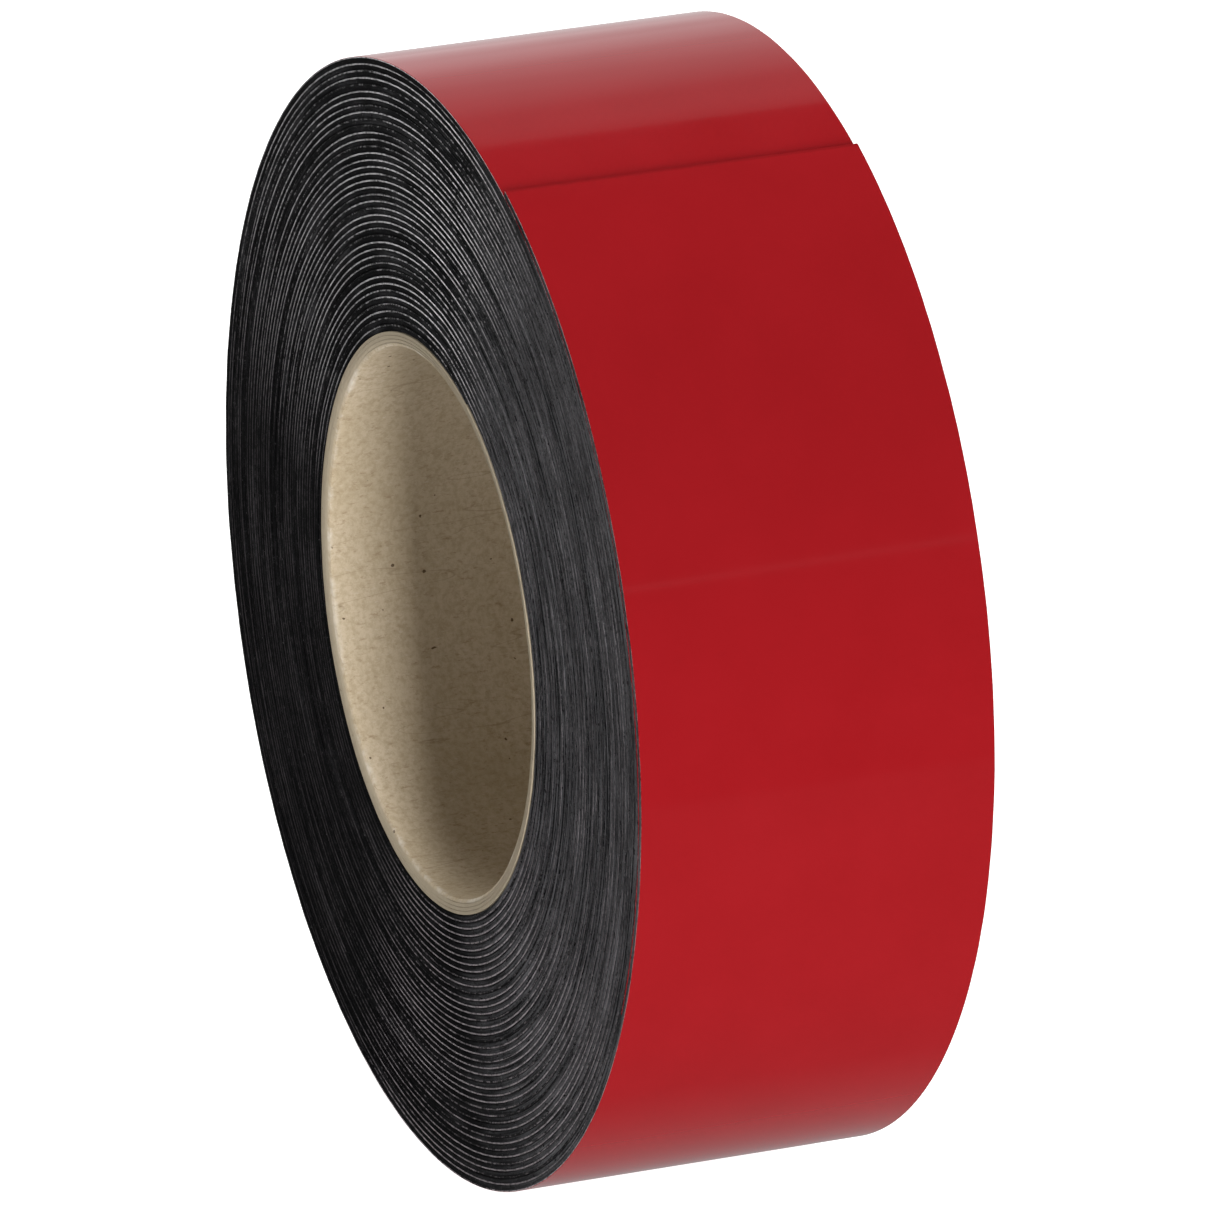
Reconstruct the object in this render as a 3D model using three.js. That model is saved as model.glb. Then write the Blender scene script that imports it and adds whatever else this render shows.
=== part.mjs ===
// A roll of flexible magnetic strip, faced with red vinyl and wound on a paperboard core.
// Millimetres, +Z up. The roll stands on its rim: its axis is the Y axis, and the origin is the
// middle of the bore. Angles are measured about Y from +X towards +Z, so the strip winds outwards
// as the angle grows, and its free end looks up and back from the top of the +X side.
import * as THREE from 'three';

// Driving dimensions
const STRIP_WIDTH = 50.8;
const BORE_RADIUS = 38.1;
const PLY_COUNT = 4;
const PLY_THICKNESS = 0.5;
const GLUE_LINE = 0.02;
const MAGNET_THICKNESS = 0.68;
const VINYL_THICKNESS = 0.12;
const WINDING_GAP = 0.12;
const START_CLEARANCE = 0.16;
const TAPE_THICKNESS = 0.1;
const TAPE_FACETS = 2;
const TURNS = 40;
const LENGTH_TURNS = 13;
const FACETS_PER_TURN = 24;
const FREE_END_DEGREES = 67.5;
const TAIL_SEGMENTS = 5;
const HINGE_GAP = 0.1;
const CORE_FACETS = 48;

// Sizes worked out from them
const CORE_RADIUS = BORE_RADIUS + PLY_COUNT * PLY_THICKNESS + (PLY_COUNT - 1) * GLUE_LINE;
const WINDING_START_RADIUS = CORE_RADIUS + START_CLEARANCE;
const VINYL_BASE = MAGNET_THICKNESS + GLUE_LINE;
const STRIP_THICKNESS = VINYL_BASE + VINYL_THICKNESS;
const WINDING_PITCH = STRIP_THICKNESS + WINDING_GAP;
const STRIP_FACETS = TURNS * FACETS_PER_TURN;
const PEEL_CORNER = STRIP_FACETS - TAIL_SEGMENTS;
const LAST_TURN_CORNER = STRIP_FACETS - FACETS_PER_TURN;
const FACET_ANGLE = (2 * Math.PI) / FACETS_PER_TURN;
const END_ANGLE = THREE.MathUtils.degToRad(FREE_END_DEGREES);
const FACET_LENGTH = 2 * (WINDING_START_RADIUS + WINDING_PITCH * TURNS) * Math.tan(FACET_ANGLE / 2);
const HINGE_TRIM = HINGE_GAP / 2 / FACET_LENGTH;

const BOARD = { color: 0xb6a27e, roughness: 0.92, metalness: 0 };
const TAPE = { color: 0xd8c9a0, roughness: 0.6, metalness: 0 };
const MAGNET = { color: 0x232323, roughness: 0.75, metalness: 0 };
const VINYL = { color: 0xa01c20, roughness: 0.28, metalness: 0 };

const roll = new THREE.Group();

function addPart(name, geometry, finish) {
  const mesh = new THREE.Mesh(geometry, new THREE.MeshStandardMaterial(finish));
  mesh.name = name;
  roll.add(mesh);
  return mesh;
}

// The strip runs as straight facets between corners, numbered from its inner end. Every turn has
// its corners at the same angles, so the turns nest. The flats, not the corners, lie on the spiral.
function corner(index, height) {
  const angle = END_ANGLE - (STRIP_FACETS - index) * FACET_ANGLE;
  const spiralRadius = WINDING_START_RADIUS + (WINDING_PITCH * index) / FACETS_PER_TURN;
  const cornerRadius = (spiralRadius + height) / Math.cos(FACET_ANGLE / 2);
  return new THREE.Vector2(cornerRadius * Math.cos(angle), cornerRadius * Math.sin(angle));
}

// A point on the strip at any place along it, such as a little way in from a corner.
function stripPoint(place, height) {
  const before = Math.floor(place);
  return corner(before, height).lerp(corner(before + 1, height), place - before);
}

// One layer of the strip from one place to another, between two heights over its inner surface.
function stripLayer(from, to, low, high) {
  const places = [from];
  for (let index = Math.floor(from) + 1; index < to; index += 1) {
    places.push(index);
  }
  places.push(to);
  const outside = places.map((place) => stripPoint(place, high));
  const inside = places.map((place) => stripPoint(place, low)).reverse();
  const outline = new THREE.Shape([...outside, ...inside]);
  const geometry = new THREE.ExtrudeGeometry(outline, {
    depth: STRIP_WIDTH,
    bevelEnabled: false,
    curveSegments: 1,
  });
  geometry.translate(0, 0, -STRIP_WIDTH / 2);
  return geometry;
}

function addStripLayer(name, from, to, low, high, finish) {
  const part = addPart(name, stripLayer(from, to, low, high), finish);
  part.rotation.x = Math.PI / 2;
  return part;
}

// The core's plies: paperboard tubes glued one inside the other.
function addCorePly(name, innerRadius) {
  const outerRadius = innerRadius + PLY_THICKNESS;
  const end = STRIP_WIDTH / 2;
  const profile = [
    new THREE.Vector2(innerRadius, -end),
    new THREE.Vector2(outerRadius, -end),
    new THREE.Vector2(outerRadius, end),
    new THREE.Vector2(innerRadius, end),
    new THREE.Vector2(innerRadius, -end),
  ];
  addPart(name, new THREE.LatheGeometry(profile, CORE_FACETS), BOARD);
}

const plyNames = ['core_inner_ply', 'core_second_ply', 'core_third_ply', 'core_outer_ply'];
plyNames.forEach((name, number) => {
  addCorePly(name, BORE_RADIUS + number * (PLY_THICKNESS + GLUE_LINE));
});

// A short piece of double-sided tape holds the strip's inner end to the core.
addStripLayer('start_tape', 0, TAPE_FACETS, -GLUE_LINE - TAPE_THICKNESS, -GLUE_LINE, TAPE);

// The wound strip, up to the line where its tail starts to peel away. The magnet layer is in three
// lengths, end to end: the inner, middle and outer turns. The facing of the last turn is the roll's
// outer skin.
const woundEnd = PEEL_CORNER - HINGE_TRIM;
const magnetLengths = ['inner', 'middle', 'outer'];
magnetLengths.forEach((word, number) => {
  const from = number * LENGTH_TURNS * FACETS_PER_TURN;
  const to = (number + 1) * LENGTH_TURNS * FACETS_PER_TURN;
  const start = number > 0 ? from + HINGE_TRIM : 0;
  const end = number < magnetLengths.length - 1 ? to - HINGE_TRIM : woundEnd;
  addStripLayer(`wound_magnet_${word}_turns`, start, end, 0, MAGNET_THICKNESS, MAGNET);
});
addStripLayer('wound_vinyl_facing', 0, LAST_TURN_CORNER - HINGE_TRIM, VINYL_BASE, STRIP_THICKNESS, VINYL);
addStripLayer('outer_turn_vinyl', LAST_TURN_CORNER + HINGE_TRIM, woundEnd, VINYL_BASE, STRIP_THICKNESS, VINYL);

// The tail bends at each corner, on a hinge line along the facing's outer surface.
for (let segment = 1; segment <= TAIL_SEGMENTS; segment += 1) {
  const from = PEEL_CORNER + segment - 1 + HINGE_TRIM;
  const to = segment < TAIL_SEGMENTS ? PEEL_CORNER + segment - HINGE_TRIM : STRIP_FACETS;
  addStripLayer(`tail_magnet_${segment}`, from, to, 0, MAGNET_THICKNESS, MAGNET);
  addStripLayer(`tail_vinyl_${segment}`, from, to, VINYL_BASE, STRIP_THICKNESS, VINYL);
}

export default roll;
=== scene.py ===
# The finished look of the magnetic strip roll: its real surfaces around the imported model's frame.
# The roll's axis is Y and its origin is the middle of the bore. Shapes are worked out in
# millimetres and become metres as each mesh is made; the stage is in metres. Angles round the roll
# are degrees from +X towards +Z, and places along the strip are "wound" angles: degrees from the
# free end, negative towards the core.
import math

import bpy
import numpy as np
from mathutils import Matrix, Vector, noise


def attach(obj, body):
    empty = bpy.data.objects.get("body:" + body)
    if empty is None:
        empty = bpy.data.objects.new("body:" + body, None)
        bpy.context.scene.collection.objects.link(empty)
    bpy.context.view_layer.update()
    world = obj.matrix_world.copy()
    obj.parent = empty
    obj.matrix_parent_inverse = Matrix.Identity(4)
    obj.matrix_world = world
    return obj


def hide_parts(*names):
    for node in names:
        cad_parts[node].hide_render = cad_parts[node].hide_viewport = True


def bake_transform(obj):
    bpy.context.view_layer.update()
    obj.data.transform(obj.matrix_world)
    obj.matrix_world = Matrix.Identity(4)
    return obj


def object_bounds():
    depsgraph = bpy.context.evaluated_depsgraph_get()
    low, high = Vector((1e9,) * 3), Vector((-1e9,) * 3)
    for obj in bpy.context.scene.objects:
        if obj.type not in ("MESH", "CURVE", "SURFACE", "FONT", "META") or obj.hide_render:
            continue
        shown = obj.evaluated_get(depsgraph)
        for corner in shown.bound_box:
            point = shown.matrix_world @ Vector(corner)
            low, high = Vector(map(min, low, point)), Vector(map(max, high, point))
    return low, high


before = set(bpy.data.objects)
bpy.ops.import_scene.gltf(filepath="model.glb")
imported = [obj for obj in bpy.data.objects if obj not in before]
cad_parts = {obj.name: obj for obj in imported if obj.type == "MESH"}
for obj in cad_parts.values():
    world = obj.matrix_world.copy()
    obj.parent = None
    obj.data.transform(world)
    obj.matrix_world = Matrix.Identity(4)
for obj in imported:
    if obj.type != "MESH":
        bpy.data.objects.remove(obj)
cad_low, cad_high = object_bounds()

MM = 0.001

# The strip and the way it is wound, as in the CAD.
FREE_END_ANGLE = 67.5
TURNS = 40
TURN_PITCH = 0.94
START_RADIUS = 40.32
END_RADIUS = START_RADIUS + TURNS * TURN_PITCH
STRIP_THICKNESS = 0.82
HALF_WIDTH = 25.4
TAIL_LENGTHS = 5
HINGE_SPACING = 15.0
PEEL_ANGLE = FREE_END_ANGLE - TAIL_LENGTHS * HINGE_SPACING
CORE_END = -360.0 * TURNS

# The two layers. The facing's edge is as high as the pale line between two black turns.
FACING_THICKNESS = 0.22
FACING_PROUD = 0.03
MAGNET_THICKNESS = STRIP_THICKNESS - FACING_THICKNESS

# The strip's edges. A wave is a row of noise, the length of its ripples and their height.
EDGE_DEPTH = 0.5
CORNER = 0.06
CORNER_SHARE = 0.25
MEAN_RECESS = 0.14
EDGE_WAVES = ((0.0, 90, 0.1), (0.31, 14, 0.03), (0.73, 3.1, 0.04))
LEAN_LENGTH = 60
LEAN_HEIGHT = 0.035
NOISE_ROW_SPACING = 5.17
NOISE_LAYER = 0.5
BACK_EDGE_ROW = 57

# The first turns: the strip's inner end is pressed thin, over the tape that holds it to the core.
PRESSED_LENGTH = 15.0
PRESSED_LEAST = 0.15
THIN_SHARE = PRESSED_LENGTH / 360
CLIMB_SHARE = 0.06
CLOSE_TURNS = 10
HAIR = 0.01
TAPE_LENGTH = 30.0
TAPE_MARGIN = 1
TAPE_TOP = -0.02
TAPE_BOTTOM = -0.12
TAPE_HALF_WIDTH = 24

# The outer wrap, whose whole cross-section is modelled, runs from under the tail to its first bend.
WRAP_START = -450.0
WRAP_END = PEEL_ANGLE - HINGE_SPACING / 2 - FREE_END_ANGLE
FACE_COLUMNS = 6

# Degrees between two cross-sections.
WOUND_STEP = 3
WRAP_STEP = 1
TAIL_STEP = 0.5
TAPE_STEP = 2

# The core.
PLY_NAMES = ("core_inner_ply", "core_second_ply", "core_third_ply", "core_outer_ply")
BORE_RADIUS = 38.1
PLY_THICKNESS = 0.5
PLY_SPACING = 0.52
PLY_CORNER = 0.05
CORE_RADIUS = BORE_RADIUS + 3 * PLY_SPACING + PLY_THICKNESS
CORE_SECTIONS = 240
BORE_COLUMNS = 26
END_SLOPE = 0.5
END_RECESS = 0.05
END_WEAR = 0.04
END_WEAR_FREQUENCY = 8
DENT_DEPTH = 0.05
DENT_FREQUENCY = 2.2
DENT_LENGTH = 14

# Degrees between two faces that meet in an edge that isn't shaded smooth.
SHARP_ANGLE = 30


# ---------------------------------------------------------------------------------------------
# Geometry
# ---------------------------------------------------------------------------------------------

def ripple(position, row, spread):
    """Smooth noise from -1 to 1 at a position in mm along a row."""
    return noise.noise(Vector((position / spread, row * NOISE_ROW_SPACING, NOISE_LAYER)))


def round_noise(frequency, angle, third):
    """Smooth noise from -1 to 1 at an angle, in radians, round the roll."""
    return noise.noise(Vector((frequency * math.cos(angle), frequency * math.sin(angle), third)))


def spiral_radius(wound):
    """Radius of the strip's inner surface, in mm. The first turns lie close to the round core, and
    climb over the strip's inner end all at once."""
    turns = TURNS + wound / 360
    part = (turns - THIN_SHARE) % 1
    climb = min(1, max(0, 1 - (1 - part) / CLIMB_SHARE))
    climb = climb * climb * (3 - 2 * climb)
    close = max(0, 1 - turns / CLOSE_TURNS)
    return START_RADIUS + TURN_PITCH * max(0, turns + close * (climb - part))


def arc_length(wound):
    """Length of strip from the free end, in mm, negative towards the core."""
    middle = (END_RADIUS + spiral_radius(wound)) / 2
    return middle * math.radians(wound)


def finish_mesh(name, points, faces, attribute):
    """An object from points in mm, with each point's place on the strip kept for its material."""
    mesh = bpy.data.meshes.new(name)
    mesh.from_pydata([tuple(c * MM for c in p) for p in points], [], faces)
    layer = mesh.attributes.new("strip", "FLOAT_VECTOR", "POINT")
    layer.data.foreach_set("vector", np.array(attribute, np.float32).ravel())
    mesh.validate()
    mesh.shade_smooth()
    mesh.set_sharp_from_angle(angle=math.radians(SHARP_ANGLE))
    obj = bpy.data.objects.new(name, mesh)
    bpy.context.scene.collection.objects.link(obj)
    return obj


def loop_mesh(name, rows, attribute):
    """A closed solid through rows of points: each row a closed loop, capped at both ends."""
    count = len(rows[0])
    points = [point for row in rows for point in row]
    faces = [tuple(range(count - 1, -1, -1))]
    for row in range(len(rows) - 1):
        base = row * count
        for here in range(count):
            after = (here + 1) % count
            faces.append((base + here, base + after, base + count + after, base + count + here))
    last = (len(rows) - 1) * count
    faces.append(tuple(range(last, last + count)))
    return finish_mesh(name, points, faces, attribute)


def strip_length(name, start, end, step, section):
    """Part of the strip between two wound angles. section(wound) gives the loop of (height, y)."""
    samples = max(2, round((end - start) / step) + 1)
    rows = []
    attribute = []
    for wound in np.linspace(start, end, samples):
        angle = math.radians(FREE_END_ANGLE + wound)
        base = spiral_radius(wound)
        row = []
        for height, y in section(wound):
            radius = base + height
            row.append((radius * math.cos(angle), y, radius * math.sin(angle)))
            attribute.append((arc_length(wound), radius, y))
        rows.append(row)
    return loop_mesh(name, rows, attribute)


def recess(wound, side):
    """How far an edge of the strip lies inside the roll's side face, in mm."""
    depth = MEAN_RECESS
    turn = wound / 360 + (0 if side < 0 else BACK_EDGE_ROW)
    for row, length, height in EDGE_WAVES:
        depth += height * ripple(arc_length(wound), turn + row, length)
    return depth


def lean(wound):
    """Small in-and-out waver of a turn, in mm."""
    return LEAN_HEIGHT * ripple(arc_length(wound), wound / 360, LEAN_LENGTH)


def pressed(wound, height):
    """A height over the strip's inner surface. The strip's inner end is pressed thin."""
    return height * min(1, PRESSED_LEAST + (wound - CORE_END) / PRESSED_LENGTH)


def air_gap(wound):
    """Room between a turn and what it is wound on, in mm, less a hair's breadth. Over the tape
    there is none."""
    if wound < CORE_END + TAPE_LENGTH:
        return 0
    first_turn = wound < CORE_END + 360
    below = CORE_RADIUS if first_turn else spiral_radius(wound - 360) + STRIP_THICKNESS
    return spiral_radius(wound) - below - HAIR


def edge_section(side, low, high, proud):
    """One edge of a layer, half a millimetre deep, with its corners broken."""
    def section(wound):
        shift = lean(wound)
        face = side * (HALF_WIDTH - recess(wound, side) + proud)
        back = side * (HALF_WIDTH - EDGE_DEPTH)
        soft = face - side * CORNER
        inner = pressed(wound, low) + shift
        outer = pressed(wound, high) + shift
        corner = (outer - inner) * CORNER_SHARE
        loop = [
            (inner, back),
            (inner, soft),
            (inner + corner, face),
            (outer - corner, face),
            (outer, soft),
            (outer, back),
        ]
        return loop if side < 0 else loop[::-1]
    return section


def body_section(low, high):
    """A layer's full width between its two edge pieces. The rubber reaches down to the turn below,
    so that the gap between two turns can't be seen through from the roll's side."""
    reach = HALF_WIDTH - EDGE_DEPTH
    def section(wound):
        inner = pressed(wound, low) - (air_gap(wound) if low == 0 else 0)
        outer = pressed(wound, high)
        return [(inner, reach), (inner, -reach), (outer, -reach), (outer, reach)]
    return section


def full_section(low, high):
    """A layer's whole cross-section on the outer turn, with its outer face in columns."""
    inside = low - air_gap(0) if low == 0 else low
    def section(wound):
        front = -HALF_WIDTH + max(0, recess(wound, -1) - MEAN_RECESS)
        back = HALF_WIDTH - max(0, recess(wound, 1) - MEAN_RECESS)
        across = np.linspace(front + CORNER, back - CORNER, FACE_COLUMNS)
        inner = [(inside, y) for y in across[::-1]]
        outer = [(high, y) for y in across]
        front_edge = [(inside + CORNER, front), (high - CORNER, front)]
        back_edge = [(high - CORNER, back), (inside + CORNER, back)]
        return inner + front_edge + outer + back_edge
    return section


def tape_section(wound):
    """The tape's cross-section, the same all along it: under the strip and short of its edges."""
    return [
        (TAPE_TOP, TAPE_HALF_WIDTH),
        (TAPE_TOP, -TAPE_HALF_WIDTH),
        (TAPE_BOTTOM, -TAPE_HALF_WIDTH),
        (TAPE_BOTTOM, TAPE_HALF_WIDTH),
    ]


LAYERS = (
    ("magnet", (0.0, MAGNET_THICKNESS), "magnet_rubber"),
    ("facing", (MAGNET_THICKNESS, STRIP_THICKNESS), "red_vinyl"),
)


def add_wound_strip():
    """The turns under the outer wrap: their two sets of edges, and the hidden width between."""
    cad_nodes = {
        "magnet": [f"wound_magnet_{word}_turns" for word in ("inner", "middle", "outer")],
        "facing": ["wound_vinyl_facing"],
    }
    made = {"magnet": [], "facing": []}
    for layer, (low, high), slot in LAYERS:
        proud = FACING_PROUD if layer == "facing" else 0
        for side, word in ((-1, "front"), (1, "back")):
            section = edge_section(side, low, high, proud)
            edges = strip_length(f"{layer}_edges_{word}", CORE_END, WRAP_START, WOUND_STEP, section)
            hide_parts(*cad_nodes[layer])
            made[layer].append(edges)
        section = body_section(low, high)
        hidden = strip_length(f"{layer}_inner_turns", CORE_END, WRAP_START, WOUND_STEP, section)
        made[layer].append(hidden)
        for obj in made[layer]:
            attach(obj, "roll")
    return made["magnet"], made["facing"]


def add_outer_wrap():
    """The last turn, and the part of the turn before it that the tail uncovers."""
    made = []
    for layer, (low, high), slot in LAYERS:
        section = full_section(low, high)
        wrap = strip_length(f"{layer}_outer_wrap", WRAP_START, WRAP_END, WRAP_STEP, section)
        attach(wrap, "roll")
        made.append([wrap])
    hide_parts("outer_turn_vinyl")
    return made


def add_tail():
    """The free end, in lengths that each span one hinge, and a tip past the last hinge that rides
    the last tail body.
    """
    bodies = ["roll"] + [f"tail_{n}" for n in range(1, TAIL_LENGTHS + 1)]
    cad_words = {"magnet": "magnet", "facing": "vinyl"}
    made = {"magnet": [], "facing": []}
    for layer, (low, high), slot in LAYERS:
        section = full_section(low, high)
        for number in range(TAIL_LENGTHS):
            start = PEEL_ANGLE + (number - 0.5) * HINGE_SPACING
            end = start + HINGE_SPACING
            bend = strip_length(f"{layer}_tail_bend_{number + 1}", start - FREE_END_ANGLE,
                                end - FREE_END_ANGLE, TAIL_STEP, section)
            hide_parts(f"tail_{cad_words[layer]}_{number + 1}")
            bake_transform(bend)
            made[layer].append(bend)
        tip = strip_length(f"{layer}_tail_tip", -HINGE_SPACING / 2, 0, TAIL_STEP, section)
        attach(tip, bodies[-1])
        made[layer].append(tip)
    return made["magnet"], made["facing"]


def add_start_tape():
    """The tape that holds the strip's inner end to the core."""
    start = CORE_END + TAPE_MARGIN
    end = CORE_END + TAPE_LENGTH - TAPE_MARGIN
    tape = strip_length("start_tape_film", start, end, TAPE_STEP, tape_section)
    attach(tape, "roll")
    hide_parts("start_tape")
    return tape


def end_depth(radius, angle, side):
    """How far the core's end lies inside the side face: rounded off towards the bore, and worn."""
    share = (CORE_RADIUS - radius) / (CORE_RADIUS - BORE_RADIUS)
    wear = END_WEAR * round_noise(END_WEAR_FREQUENCY, angle, side)
    return END_RECESS + wear + END_SLOPE * share * share


def ply_loop(inner, outer, angle, columns):
    """A ply's cross-section at an angle: a slightly dented inner face, and softened corners."""
    front_in, front_out = [-HALF_WIDTH + end_depth(radius, angle, -1) for radius in (inner, outer)]
    back_in, back_out = [HALF_WIDTH - end_depth(radius, angle, 1) for radius in (inner, outer)]
    loop = []
    for y in np.linspace(front_in + PLY_CORNER, back_in - PLY_CORNER, columns):
        dent = DENT_DEPTH * max(0, round_noise(DENT_FREQUENCY, angle, y / DENT_LENGTH))
        loop.append((inner + dent, y))
    return loop + [
        (inner + PLY_CORNER, back_in),
        (outer - PLY_CORNER / 2, back_out),
        (outer, back_out - PLY_CORNER),
        (outer, front_out + PLY_CORNER),
        (outer - PLY_CORNER / 2, front_out),
        (inner + PLY_CORNER, front_in),
    ]


def add_core_ply(number, name):
    """A paperboard tube with softened, slightly worn ends. Only the bore is seen, so only it is
    divided along its length."""
    inner = BORE_RADIUS + number * PLY_SPACING
    columns = BORE_COLUMNS if number == 0 else 2
    points = []
    attribute = []
    for angle in np.linspace(0, 2 * math.pi, CORE_SECTIONS, endpoint=False):
        loop = ply_loop(inner, inner + PLY_THICKNESS, angle, columns)
        for radius, y in loop:
            points.append((radius * math.cos(angle), y, radius * math.sin(angle)))
            attribute.append((radius * angle, radius, y))
    count = len(loop)
    faces = []
    for step in range(CORE_SECTIONS):
        base = step * count
        after = (step + 1) % CORE_SECTIONS * count
        for here in range(count):
            there = (here + 1) % count
            faces.append((base + here, base + there, after + there, after + here))
    ply = finish_mesh(f"{name}_board", points, faces, attribute)
    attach(ply, "roll")
    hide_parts(name)
    return ply


# ---------------------------------------------------------------------------------------------
# Materials
# ---------------------------------------------------------------------------------------------

class Nodes:
    """Short calls for building one material's node tree."""

    def __init__(self, name):
        self.material = bpy.data.materials.new(name)
        self.material.use_nodes = True
        self.tree = self.material.node_tree
        self.shader = self.tree.nodes["Principled BSDF"]

    def link(self, source, target):
        self.tree.links.new(source, target)

    def put(self, socket, value):
        """Link another node's output to a socket, or set the socket's own value."""
        if isinstance(value, bpy.types.NodeSocket):
            self.link(value, socket)
        elif socket.type == "RGBA":
            socket.default_value = (*value, 1)
        else:
            socket.default_value = value

    def add(self, kind, **inputs):
        node = self.tree.nodes.new(kind)
        for name, value in inputs.items():
            self.put(node.inputs[name], value)
        return node

    def math(self, operation, a, b=0.0, clamp=False):
        node = self.tree.nodes.new("ShaderNodeMath")
        node.operation = operation
        node.use_clamp = clamp
        self.put(node.inputs[0], a)
        self.put(node.inputs[1], b)
        return node.outputs[0]

    def strip_attribute(self):
        """Each point's length along the strip, radius and y, in mm."""
        node = self.tree.nodes.new("ShaderNodeAttribute")
        node.attribute_name = "strip"
        return node.outputs["Vector"]

    def strip_place(self):
        """The strip attribute's parts: X is the length, Y the radius and Z the y."""
        return self.add("ShaderNodeSeparateXYZ", Vector=self.strip_attribute())

    def strip_vector(self, along, radial, across):
        """The strip attribute as texture coordinates, scaled on each axis."""
        node = self.tree.nodes.new("ShaderNodeVectorMath")
        node.operation = "MULTIPLY"
        self.link(self.strip_attribute(), node.inputs[0])
        node.inputs[1].default_value = (along, radial, across)
        return node.outputs[0]

    def object_vector(self):
        """Object coordinates in mm."""
        place = self.tree.nodes.new("ShaderNodeTexCoord")
        node = self.tree.nodes.new("ShaderNodeVectorMath")
        node.operation = "SCALE"
        self.link(place.outputs["Object"], node.inputs[0])
        node.inputs["Scale"].default_value = 1 / MM
        return node.outputs[0]

    def noise(self, vector, scale, detail=2.0, roughness=0.5):
        node = self.add("ShaderNodeTexNoise", Vector=vector, Scale=scale, Detail=detail,
                        Roughness=roughness)
        return node.outputs["Fac"]

    def level(self, factor, low, high, to_low=0.0, to_high=1.0):
        """Carry a value from one range to another, without going past its ends."""
        node = self.tree.nodes.new("ShaderNodeMapRange")
        self.link(factor, node.inputs["Value"])
        node.inputs["From Min"].default_value = low
        node.inputs["From Max"].default_value = high
        node.inputs["To Min"].default_value = to_low
        node.inputs["To Max"].default_value = to_high
        return node.outputs["Result"]

    def mix(self, factor, a, b):
        """Colour a where the factor is 0, and b where it is 1."""
        node = self.tree.nodes.new("ShaderNodeMix")
        node.data_type = "RGBA"
        factor_socket = next(s for s in node.inputs if s.name == "Factor" and s.type == "VALUE")
        a_socket = next(s for s in node.inputs if s.name == "A" and s.type == "RGBA")
        b_socket = next(s for s in node.inputs if s.name == "B" and s.type == "RGBA")
        self.put(factor_socket, factor)
        self.put(a_socket, a)
        self.put(b_socket, b)
        return next(s for s in node.outputs if s.type == "RGBA")

    def bump(self, height, strength, distance):
        node = self.add("ShaderNodeBump", Strength=strength, Distance=distance, Height=height)
        return node.outputs["Normal"]

    def surface(self, **inputs):
        """Set the shader's inputs, named with underscores for spaces, and give the material."""
        for name, value in inputs.items():
            self.put(self.shader.inputs[name.replace("_", " ")], value)
        return self.material

    def show(self, shader):
        """Put a shader other than the usual one on the surface, and give the material."""
        self.link(shader, self.tree.nodes["Material Output"].inputs["Surface"])
        return self.material


class SideZones:
    """Where a point lies round the roll's side face: height and side run from -1 to 1, and bands
    are patches a few turns wide."""

    def __init__(self, m):
        place = m.add("ShaderNodeSeparateXYZ", Vector=m.object_vector())
        x, y, z = place.outputs["X"], place.outputs["Y"], place.outputs["Z"]
        radius = m.math("SQRT", m.math("ADD", m.math("POWER", x, 2.0), m.math("POWER", z, 2.0)))
        self.height = m.math("DIVIDE", z, radius)
        self.side = m.math("DIVIDE", x, radius)
        slow_x = m.math("MULTIPLY", self.side, 4.0)
        slow_z = m.math("MULTIPLY", self.height, 4.0)
        ring = m.math("ADD", m.math("MULTIPLY", radius, 0.3), m.math("MULTIPLY", y, 0.1))
        rings = m.add("ShaderNodeCombineXYZ", X=slow_x, Y=ring, Z=slow_z).outputs[0]
        self.bands = m.noise(rings, 1.0, detail=3, roughness=0.6)


def make_rubber():
    """Black ferrite rubber: streaked along the strip, and greyer on one side of the roll, partly
    from scuffs and partly as painted sheen.
    """
    clean_black = (0.004, 0.004, 0.0045)
    scuff_and_sheen_grey = (0.158, 0.156, 0.165)
    fleck_grey = (0.2, 0.196, 0.2)
    hollow_black = (0.003, 0.003, 0.003)
    pit_black = (0.002, 0.002, 0.002)
    m = Nodes("ferrite_rubber")
    zones = SideZones(m)
    streak = m.noise(m.strip_vector(0.1, 3.2, 0.3), 1.0, detail=5, roughness=0.65)
    fleck = m.noise(m.strip_vector(1.8, 3.5, 0.3), 1.0, detail=4, roughness=0.7)
    pit = m.noise(m.strip_vector(0.9, 2.2, 0.3), 1.0, detail=1)
    # Greyer most on the side towards +X, a little at the top, and unevenly from band to band: partly
    # scuffs, partly painted sheen.
    by_side = m.level(zones.side, 0.2, 0.7, 0.0, 0.8)
    by_height = m.level(zones.height, 0.2, 0.9, 0.0, 0.1)
    by_band = m.level(zones.bands, 0.42, 0.7, -0.12, 0.15)
    scuff_and_sheen = m.math("ADD", m.math("ADD", by_side, by_height), by_band, clamp=True)
    # worn is the scuff and the painted sheen together, streaked along the strip.
    worn = m.math("MULTIPLY", scuff_and_sheen, m.level(streak, 0.36, 0.64, 0.05, 1.0))
    color = m.mix(worn, clean_black, scuff_and_sheen_grey)
    # Grey flecks, thick where the scuffs and painted sheen are and sparse elsewhere, then the dark
    # hollows and pits.
    thick = m.math("MULTIPLY", m.level(fleck, 0.56, 0.72), m.math("ADD", scuff_and_sheen, 0.04, clamp=True))
    sparse = m.level(fleck, 0.62, 0.72, 0.0, 0.45)
    color = m.mix(m.math("MAXIMUM", thick, sparse), color, fleck_grey)
    color = m.mix(m.level(fleck, 0.42, 0.32), color, hollow_black)
    color = m.mix(m.level(pit, 0.68, 0.73), color, pit_black)
    relief = m.math("ADD", streak, m.math("MULTIPLY", fleck, 0.5))
    normal = m.bump(relief, 0.5, 0.06 * MM)
    return m.surface(Base_Color=color, Roughness=0.8, Normal=normal, Specular_IOR_Level=0.1)


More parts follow.
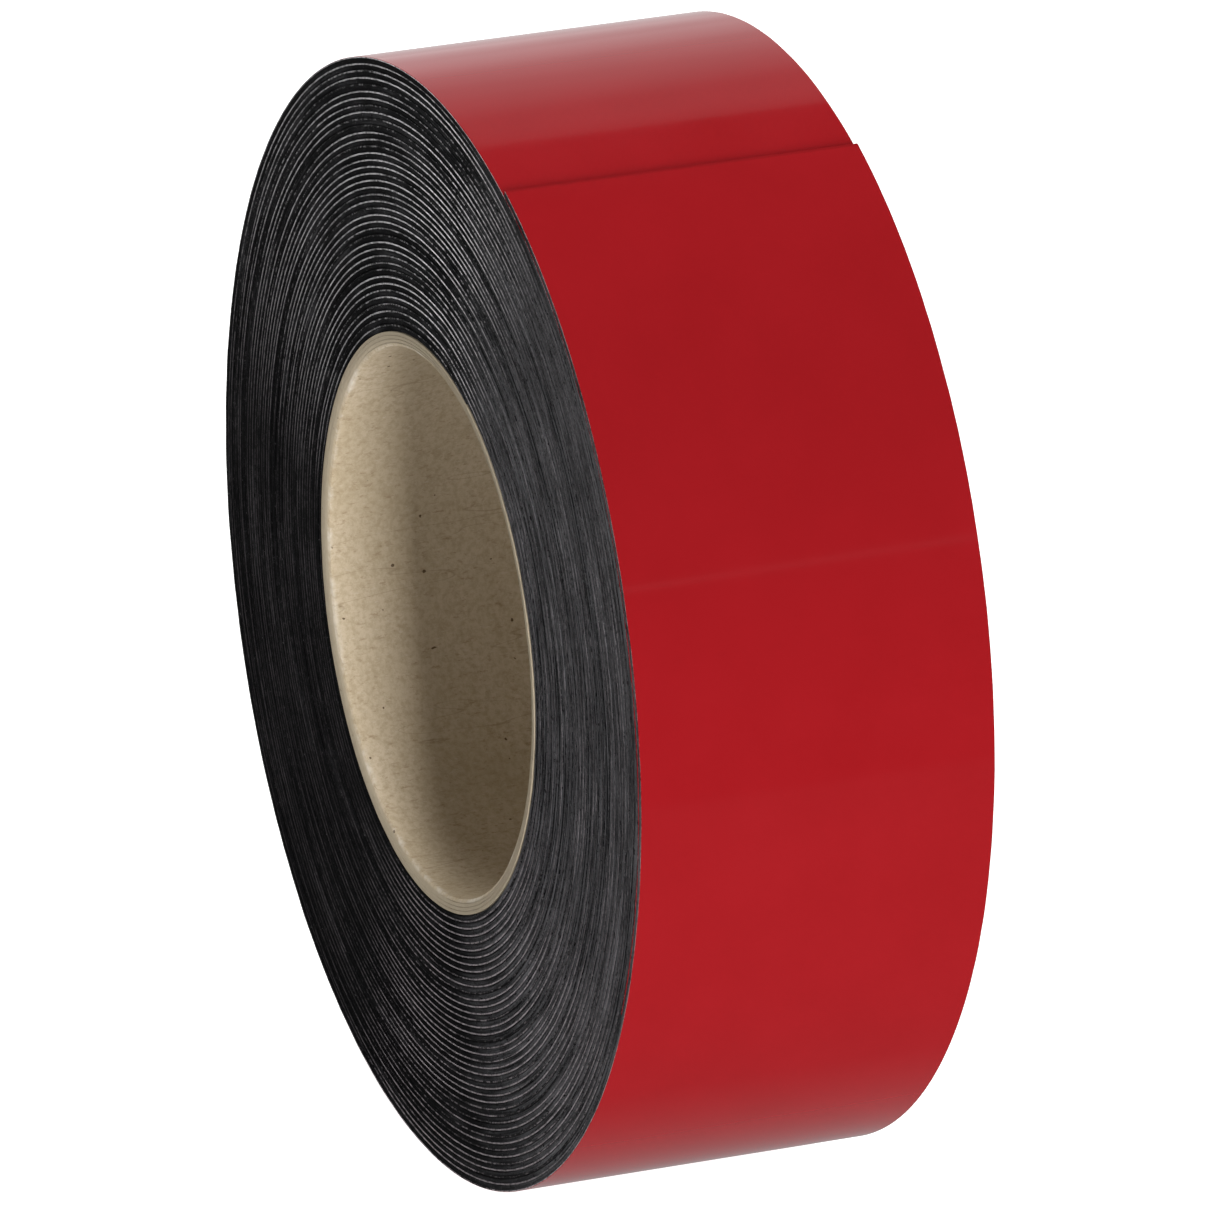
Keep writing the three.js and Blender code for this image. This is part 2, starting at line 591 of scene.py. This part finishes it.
def make_cut_edge(name, least):
    """The film's slit edge: a pale line, broken into dashes and smeared with black, brightened at
    the top and bottom by painted highlight and dulled towards -X by painted shade. least is how
    clean it is where it is smeared most."""
    smeared_black = (0.005, 0.005, 0.0055)
    clean_pale = (0.5, 0.45, 0.47)
    pale_top_highlight = (0.8, 0.78, 0.8)
    m = Nodes(name)
    zones = SideZones(m)
    stretch = m.noise(m.strip_vector(0.02, 1.1, 0.3), 1.0, detail=2)
    bead = m.noise(m.strip_vector(1.1, 1.0, 0.3), 1.0, detail=4, roughness=0.75)
    # Painted highlight: the line is palest at the top, but not towards +X, and at the bottom, but
    # not towards -X. Painted shade dulls it altogether towards -X. Elsewhere it is as clean as the
    # smear.
    top = m.math("MULTIPLY", m.level(zones.height, 0.0, 0.65),
                 m.level(zones.side, 0.15, 0.6, 1.0, 0.1))
    bottom = m.math("MULTIPLY", m.level(zones.height, -0.25, -0.75, 0.0, 0.62),
                    m.level(zones.side, -0.45, -0.1, 0.1, 1.0))
    smeared = m.level(zones.bands, 0.4, 0.7, least, least + 0.2)
    shade = m.level(zones.side, -0.6, 0.0, 0.4, 1.0)
    clean_and_highlight = m.math("MAXIMUM", m.math("MAXIMUM", top, bottom), smeared)
    # clean is the smear's cleanness with the painted highlight and the painted shade.
    clean = m.math("MULTIPLY", clean_and_highlight, shade)
    # Long stretches without a line, and short dashes within it.
    stretches = m.level(stretch, 0.36, 0.5, -0.1, 0.8)
    dashes = m.level(bead, 0.4, 0.62, -0.45, 0.5)
    pale = m.math("MULTIPLY", clean, m.math("ADD", stretches, dashes, clamp=True))
    # At the top the line's colour turns to a brighter painted highlight.
    color = m.mix(pale, smeared_black, m.mix(top, clean_pale, pale_top_highlight))
    return m.surface(Base_Color=color, Roughness=0.7, Specular_IOR_Level=0.15)


def make_red_vinyl():
    """Glossy red film, faintly mottled, with painted shade along the cut at the free end, where the
    strip steps down onto the turn below.
    """
    deep_red = (0.222, 0.0051, 0.0075)
    light_red = (0.234, 0.0056, 0.0084)
    step_shade_red = (0.19, 0.0048, 0.0068)
    m = Nodes("red_vinyl")
    place = m.object_vector()
    mottle = m.noise(place, 0.08, detail=3)
    orange_peel = m.noise(place, 0.7, detail=2)
    color = m.mix(m.level(mottle, 0.3, 0.7), deep_red, light_red)
    # Painted shade along the last half millimetre before the free end's cut, with a wavering border.
    waver = m.noise(m.strip_vector(0, 0, 0.9), 1.0, detail=3)
    from_end = m.math("ADD", m.strip_place().outputs["X"], m.level(waver, 0.3, 0.7, -0.1, 0.1))
    color = m.mix(m.level(from_end, -0.55, -0.3), color, step_shade_red)
    return m.surface(
        Base_Color=color,
        Roughness=m.level(mottle, 0.3, 0.7, 0.07, 0.095),
        Normal=m.bump(orange_peel, 0.06, 0.02 * MM),
    )


def make_board():
    """Grey-tan chipboard: mottled fibres, a few specks and faint creases, paler where it is worn."""
    tan = (0.475, 0.39, 0.27)
    light_tan = (0.545, 0.455, 0.335)
    mottle_brown = (0.36, 0.282, 0.178)
    dark_fibre = (0.24, 0.16, 0.09)
    pale_fibre = (0.58, 0.5, 0.39)
    crease_brown = (0.2, 0.14, 0.08)
    speck_brown = (0.12, 0.08, 0.045)
    cut_board = (0.37, 0.315, 0.23)
    worn_board = (0.7, 0.66, 0.58)
    m = Nodes("core_chipboard")
    place = m.object_vector()
    cloud = m.noise(place, 0.07, detail=3, roughness=0.55)
    mottle = m.noise(place, 1.1, detail=6, roughness=0.75)
    fibre = m.noise(m.strip_vector(1.4, 1.0, 0.5), 1.3, detail=4, roughness=0.7)
    speck = m.noise(place, 0.85, detail=1)
    fold = m.noise(m.strip_vector(0.16, 0.1, 0.018), 1.0, detail=2, roughness=0.6)
    color = m.mix(m.level(cloud, 0.3, 0.7), tan, light_tan)
    color = m.mix(m.level(mottle, 0.42, 0.62, 0.0, 0.65), color, mottle_brown)
    color = m.mix(m.level(fibre, 0.58, 0.7, 0.0, 0.6), color, dark_fibre)
    color = m.mix(m.level(fibre, 0.4, 0.3, 0.0, 0.5), color, pale_fibre)
    # A crease lies where the fold noise crosses one value.
    crease = m.math("ABSOLUTE", m.math("SUBTRACT", fold, 0.6))
    color = m.mix(m.level(crease, 0.004, 0.0, 0.0, 0.4), color, crease_brown)
    color = m.mix(m.level(speck, 0.765, 0.785), color, speck_brown)
    # The end face is darker, and its inner edge is worn pale in patches.
    strip = m.strip_place()
    from_middle = m.math("ABSOLUTE", strip.outputs["Z"])
    at_end = m.level(from_middle, HALF_WIDTH - 1.2, HALF_WIDTH - 0.7)
    past_bore = m.level(strip.outputs["Y"], BORE_RADIUS + 0.25, BORE_RADIUS + 0.6)
    ring = m.math("MULTIPLY", past_bore, at_end)
    color = m.mix(m.math("MULTIPLY", ring, 0.75), color, cut_board)
    from_rim = m.math("ABSOLUTE", m.math("SUBTRACT", strip.outputs["Y"], BORE_RADIUS + 0.15))
    rim = m.math("MULTIPLY", m.level(from_rim, 0.5, 0.1), at_end)
    patches = m.level(m.noise(place, 0.16, detail=4, roughness=0.7), 0.47, 0.64, 0.0, 0.6)
    color = m.mix(m.math("MULTIPLY", rim, patches), color, worn_board)
    relief = m.math("ADD", mottle, m.math("MULTIPLY", fibre, 0.5))
    normal = m.bump(relief, 0.6, 0.08 * MM)
    return m.surface(Base_Color=color, Roughness=0.9, Normal=normal, Specular_IOR_Level=0.2)


def make_tape():
    """Tissue tape, with its fibres showing."""
    tissue = (0.6, 0.52, 0.36)
    pale_tissue = (0.72, 0.64, 0.48)
    m = Nodes("tissue_tape")
    fibre = m.noise(m.object_vector(), 0.8, detail=4)
    return m.surface(Base_Color=m.mix(fibre, tissue, pale_tissue), Roughness=0.6)


def faces_along_axis(polygon):
    """Whether a face looks mostly out of the roll's front or back."""
    return abs(polygon.normal.y) > 0.5


def faces_outward(polygon):
    """Whether a face looks mostly away from the roll's axis."""
    middle = polygon.center
    return polygon.normal.dot(Vector((middle.x, 0, middle.z)).normalized()) > 0.6


def paint(objects, first, second, wants_first):
    """Two materials on each object, chosen face by face."""
    for obj in objects:
        obj.data.materials.append(first)
        obj.data.materials.append(second)
        for polygon in obj.data.polygons:
            polygon.material_index = 0 if wants_first(polygon) else 1


# ---------------------------------------------------------------------------------------------
# Stage
# ---------------------------------------------------------------------------------------------

def add_card(name, corners):
    """A flat sheet between four corners, in metres."""
    mesh = bpy.data.meshes.new(name)
    mesh.from_pydata(corners, [], [(0, 1, 2, 3)])
    card = bpy.data.objects.new(name, mesh)
    bpy.context.scene.collection.objects.link(card)
    return card


def make_floor_white():
    """It glows: white to the camera, and faintly as fill on the roll. Reflections see a painted glow
    in
    place of the lit floor: a faint table on the +X side, brighter just under the roll, and a bright
    floor far off on the -X side."""
    m = Nodes("floor_white")
    path = m.tree.nodes.new("ShaderNodeLightPath")
    fill = m.math("MULTIPLY", path.outputs["Is Diffuse Ray"], 0.1)
    glow = m.math("ADD", path.outputs["Is Camera Ray"], fill)
    m.surface(Base_Color=(0.35, 0.35, 0.35), Roughness=0.9, Specular_IOR_Level=0.0,
              Emission_Color=(1, 1, 1), Emission_Strength=glow)
    x = m.add("ShaderNodeSeparateXYZ", Vector=m.object_vector()).outputs["X"]
    table = m.math("MULTIPLY", m.level(x, 300, 280, 0.05, 0.1), m.level(x, -20, 20))
    under = m.math("MULTIPLY", m.level(x, 62, 18, 0.0, 0.28), m.level(x, -20, 15))
    far_off = m.level(x, -320, -450, 0.0, 0.7)
    reflected = m.math("ADD", m.math("ADD", table, under), far_off)
    seen_in_gloss = m.add("ShaderNodeEmission", Color=(1, 1, 1), Strength=reflected)
    either = m.tree.nodes.new("ShaderNodeMixShader")
    m.link(path.outputs["Is Glossy Ray"], either.inputs[0])
    m.link(m.shader.outputs[0], either.inputs[1])
    m.link(seen_in_gloss.outputs[0], either.inputs[2])
    return m.show(either.outputs[0])


def add_floor():
    """A floor that touches the roll's lowest point."""
    level = cad_low.z
    reach = 3.0
    corners = [(-reach, -reach, level), (reach, -reach, level), (reach, reach, level),
               (-reach, reach, level)]
    floor = add_card("floor", corners)
    floor.data.materials.append(make_floor_white())
    floor.visible_shadow = False


def add_backdrop():
    """A card on the -X side that only the roll's reflections see: brightest low down, and fading
    more slowly above its bend."""
    left = -1.5
    front = -1
    back = 3
    bottom = -0.05
    bend = 0.88
    top = 1.93
    corners = [(left, front, bottom), (left, back, bottom), (left, back, top), (left, front, top)]
    card = add_card("backdrop", corners)
    m = Nodes("backdrop_glow")
    place = m.tree.nodes.new("ShaderNodeTexCoord").outputs["Object"]
    z = m.add("ShaderNodeSeparateXYZ", Vector=place).outputs["Z"]
    glow = m.math("ADD", m.level(z, top, bend, 0.26, 0.47), m.level(z, bend, 0.0, 0.0, 0.42))
    cloud = m.level(m.noise(place, 1.6, detail=3), 0.3, 0.7, 0.75, 1.25)
    strength = m.math("MULTIPLY", glow, cloud)
    light = m.add("ShaderNodeEmission", Color=(1, 1, 1), Strength=strength)
    card.data.materials.append(m.show(light.outputs[0]))
    card.visible_camera = False
    card.visible_diffuse = False
    card.visible_shadow = False


def add_light(name, position, size, power, diffuse=True, glossy=True):
    """A rectangular light, out of the camera's sight, that faces the middle of the roll."""
    data = bpy.data.lights.new(name, "AREA")
    data.shape = "RECTANGLE"
    data.size, data.size_y = size
    data.energy = power
    light = bpy.data.objects.new(name, data)
    light.location = position
    light.rotation_mode = "QUATERNION"
    light.rotation_quaternion = (-Vector(position)).to_track_quat("-Z", "Y")
    light.visible_camera = False
    light.visible_diffuse = diffuse
    light.visible_glossy = glossy
    bpy.context.scene.collection.objects.link(light)


def add_lights():
    """Soft lights for the surfaces, and one thin strip that only reflections see."""
    add_light("key", (1.4, -0.12, 0.22), (0.28, 0.6), 27.5, glossy=False)
    add_light("front", (0.25, -1.42, 0.2), (0.7, 0.7), 4.5, glossy=False)
    add_light("top", (-0.85, 0.15, 1.21), (0.8, 0.8), 37, glossy=False)
    add_light("light_table", (0.08, 0.3, -1.17), (0.8, 0.8), 13, glossy=False)
    add_light("ceiling_strip", (1.29, 0.51, 0.565), (2.0, 0.03), 0.03, diffuse=False)


def add_world():
    """White behind the object, a soft fill on its surfaces, and little in its reflections."""
    world = bpy.data.worlds.new("studio")
    bpy.context.scene.world = world
    world.use_nodes = True
    tree = world.node_tree
    path = tree.nodes.new("ShaderNodeLightPath")
    strength = None
    for output, share in (("Is Camera Ray", 1.0), ("Is Diffuse Ray", 0.1), ("Is Glossy Ray", 0.06)):
        part = tree.nodes.new("ShaderNodeMath")
        part.operation = "MULTIPLY_ADD"
        tree.links.new(path.outputs[output], part.inputs[0])
        part.inputs[1].default_value = share
        part.inputs[2].default_value = 0
        if strength is not None:
            tree.links.new(strength, part.inputs[2])
        strength = part.outputs[0]
    background = tree.nodes["Background"]
    background.inputs["Color"].default_value = (1, 1, 1, 1)
    tree.links.new(strength, background.inputs["Strength"])


def add_camera():
    """The photo's view: from the front right and above, with a long lens."""
    azimuth = math.radians(68.15)
    elevation = math.radians(21.41)
    distance = 2.0
    aim_right = 1.2
    aim_down = 1.19
    back = Vector((
        math.sin(azimuth) * math.cos(elevation),
        -math.cos(azimuth) * math.cos(elevation),
        math.sin(elevation),
    ))
    facing_camera = (-back).to_track_quat("-Z", "Y")
    right = facing_camera @ Vector((1, 0, 0))
    up = facing_camera @ Vector((0, 1, 0))
    aim = right * aim_right * MM - up * aim_down * MM
    data = bpy.data.cameras.new("camera")
    data.lens = 432.9
    data.sensor_width = 36
    camera = bpy.data.objects.new("camera", data)
    camera.location = aim + back * distance
    camera.rotation_mode = "QUATERNION"
    camera.rotation_quaternion = facing_camera
    bpy.context.scene.collection.objects.link(camera)
    bpy.context.scene.camera = camera


add_camera()
wound_magnet, wound_facing = add_wound_strip()
wrap_magnet, wrap_facing = add_outer_wrap()
tail_magnet, tail_facing = add_tail()

rubber = make_rubber()
red = make_red_vinyl()
smeared_edge = make_cut_edge("vinyl_cut_edge", 0.1)
clean_edge = make_cut_edge("vinyl_outer_edge", 1.0)
for obj in wound_magnet + wrap_magnet + tail_magnet:
    obj.data.materials.append(rubber)
paint(wound_facing, smeared_edge, rubber, faces_along_axis)
paint(wrap_facing + tail_facing, red, clean_edge, faces_outward)

board = make_board()
for number, name in enumerate(PLY_NAMES):
    add_core_ply(number, name).data.materials.append(board)
add_start_tape().data.materials.append(make_tape())

add_floor()
add_world()
add_backdrop()
add_lights()
bpy.context.scene.view_settings.view_transform = "Standard"
